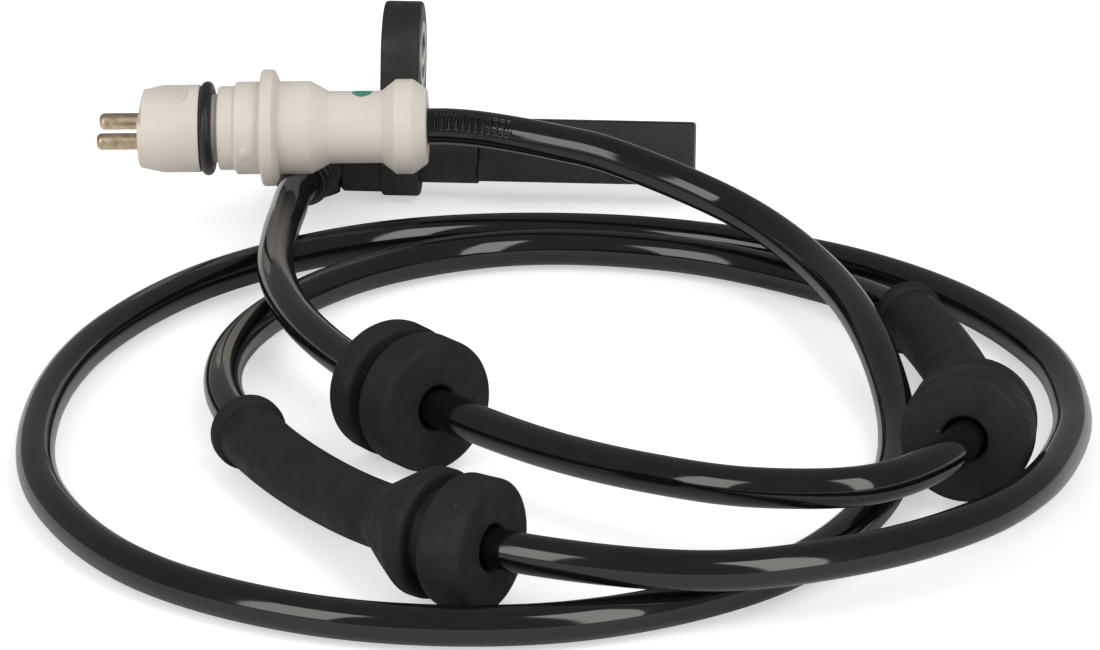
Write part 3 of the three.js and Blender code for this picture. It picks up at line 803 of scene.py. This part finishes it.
for vertex in relief.data.vertices:
    along, across, above = vertex.co / millimetre
    radius = math.hypot(across, above)
    if window_start < along < window_end and radius > relief_radius - 0.1:
        turn = math.atan2(above, across) - window_centre
        turn = abs((turn + math.pi / 2) % math.pi - math.pi / 2)
        opening = min(1, max(0, (window_reach - turn) / window_edge))
        opening *= min(
            1, (along - window_start) / window_ramp, (window_end - along) / window_ramp,
        )
        from_rib = abs(along % rib_pitch - rib_pitch / 2) / rib_half
        rib = math.sqrt(1 - from_rib ** 2) if from_rib < 1 else 0
        shrink = 1 - window_depth * opening * (1 - rib) / radius
        vertex.co = (along * millimetre, across * shrink * millimetre, above * shrink * millimetre)
bent(relief, connector_rear, -1)
smooth(relief, 50)
dressed(relief, jacket, "boot_rubber", "connector_relief")


# Inside the head and the connector, out of sight: the iron pole in its wound
# bobbin, the magnet behind it, and the stamped brass terminals and the cores.
def covered(material, *nodes):
    """Gives the solids of the frame another material."""
    for node in nodes:
        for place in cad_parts[node].material_slots:
            place.material = material


covered(nylon, "coil_bobbin", "terminal_carrier")
covered(zinc, "pole_pin")
copper = finish("enamelled_copper", (0.5, 0.2, 0.09), 0.3, 1.0)
colour_from(copper, blended(copper, noise(copper, 9000, detail=1, stretch=(1, 0.05, 0.05)), [
    (0.4, (0.3, 0.1, 0.04)), (0.6, (0.62, 0.28, 0.13)),
]))
covered(copper, "coil_winding")
magnet = finish("ground_magnet", (0.1, 0.1, 0.105), 0.5, 1.0)
roughness_from(magnet, noise(magnet, 2500), 0.4, 0.6)
covered(magnet, "bias_magnet")
brass = finish("stamped_brass", (0.62, 0.47, 0.2), 0.32, 1.0)
roughness_from(brass, noise(brass, 1800), 0.25, 0.42)
covered(brass, "terminal_a", "terminal_b")
white_core = finish("white_core", (0.7, 0.69, 0.65), 0.4)
roughness_from(white_core, noise(white_core, 900), 0.35, 0.5)
covered(white_core, "head_wire_a", "connector_wire_a")
dark_core = finish("dark_core", (0.02, 0.02, 0.021), 0.4)
roughness_from(dark_core, noise(dark_core, 900), 0.35, 0.5)
covered(dark_core, "head_wire_b", "connector_wire_b")


# Stage: a wide matt white table, a white surround, and two tall soft boxes in
# front of the object, one on its left and one on its right.
bpy.ops.object.select_all(action="DESELECT")
bpy.ops.mesh.primitive_plane_add(size=9, location=(0, 0, -0.0003))
table = bpy.context.object
table.name = table.data.name = "table"
table_top = bpy.data.materials.new("white_table")
table_top.use_nodes = True
table_nodes, table_links = table_top.node_tree.nodes, table_top.node_tree.links
table_shader = table_nodes["Principled BSDF"]
table_shader.inputs["Base Color"].default_value = (0.8, 0.8, 0.8, 1)
table_shader.inputs["Roughness"].default_value = 1
table_shader.inputs["Specular IOR Level"].default_value = 0
seen = table_nodes.new("ShaderNodeLightPath")
whiter = table_nodes.new("ShaderNodeMath")
whiter.operation = "MULTIPLY"
whiter.inputs[1].default_value = 0.5
table_links.new(seen.outputs["Is Camera Ray"], whiter.inputs[0])
table_shader.inputs["Emission Color"].default_value = (1, 1, 1, 1)
table_links.new(whiter.outputs["Value"], table_shader.inputs["Emission Strength"])
table.data.materials.append(table_top)

world = bpy.data.worlds.new("surround")
bpy.context.scene.world = world
world.use_nodes = True
world_nodes, world_links = world.node_tree.nodes, world.node_tree.links
background = world_nodes["Background"]
background.inputs["Color"].default_value = (1, 1, 1, 1)
ray = world_nodes.new("ShaderNodeLightPath")
level = world_nodes.new("ShaderNodeMix")
level.inputs["A"].default_value = 0.6
level.inputs["B"].default_value = 1.0
gloss_level = world_nodes.new("ShaderNodeMix")
gloss_level.inputs["B"].default_value = 0.24
world_links.new(ray.outputs["Is Camera Ray"], level.inputs["Factor"])
world_links.new(ray.outputs["Is Glossy Ray"], gloss_level.inputs["Factor"])
world_links.new(level.outputs["Result"], gloss_level.inputs["A"])
world_links.new(gloss_level.outputs["Result"], background.inputs["Strength"])

object_centre = Vector((0.01, -0.08, 0.01))
lamp_distance = 1.3
for name, azimuth, elevation, width, height, power in (
    ("left_box", -131, 27, 0.53, 1.02, 5.9),
    ("right_box", -51, 33, 0.42, 1.56, 7.9),
):
    out = Vector((
        math.cos(math.radians(azimuth)) * math.cos(math.radians(elevation)),
        math.sin(math.radians(azimuth)) * math.cos(math.radians(elevation)),
        math.sin(math.radians(elevation)),
    ))
    bpy.ops.object.light_add(type="AREA", location=object_centre + out * lamp_distance)
    lamp = bpy.context.object
    lamp.name = name
    lamp.rotation_euler = out.to_track_quat("Z", "Y").to_euler()
    lamp.data.shape = "RECTANGLE"
    lamp.data.size, lamp.data.size_y = width, height
    lamp.data.energy = power
    lamp.data.color = (1.0, 0.95, 0.9)

bpy.context.scene.view_settings.view_transform = "Standard"
